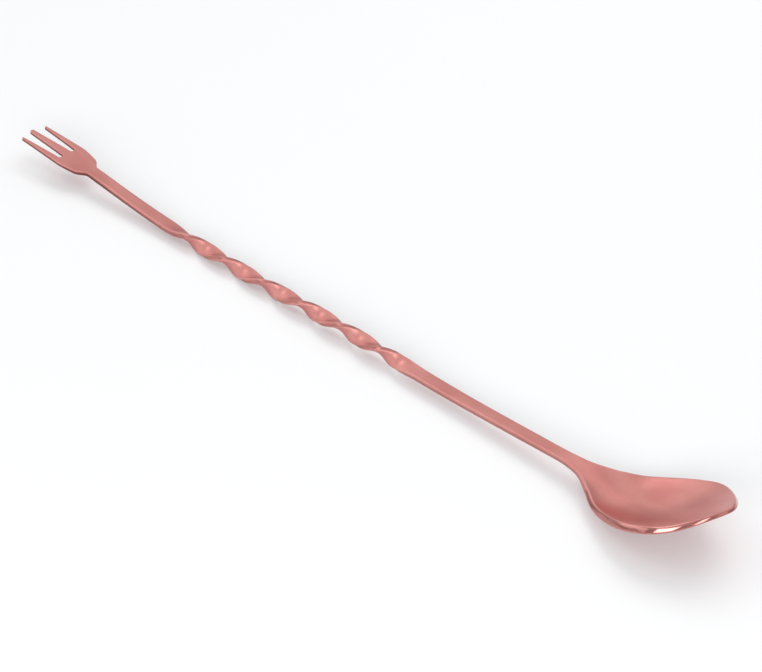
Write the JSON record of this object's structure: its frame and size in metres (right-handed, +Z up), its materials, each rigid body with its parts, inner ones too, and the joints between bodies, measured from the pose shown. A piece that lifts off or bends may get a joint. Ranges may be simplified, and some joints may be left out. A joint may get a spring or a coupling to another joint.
{
  "type": "bar spoon",
  "caption": "Long bar spoon: a shallow teardrop bowl, a flat strip stem twisted along its middle, and a small tined fork at the other end.",
  "frame": {"origin": "under the middle of the spoon, on the surface it lies on, where the first twists and the underside of the bowl touch", "axes": "+X along the stem from the fork to the bowl, +Y across the stem, +Z up out of the bowl's hollow"},
  "size_m": [0.2786, 0.03, 0.0206],
  "materials": {
    "copper_plate": "satin copper plate on stainless steel"
  },
  "bodies": {
    "root": {"fork_head": "copper_plate", "twisted_stem": "copper_plate", "spoon_bowl": "copper_plate"}
  },
  "joints": []
}
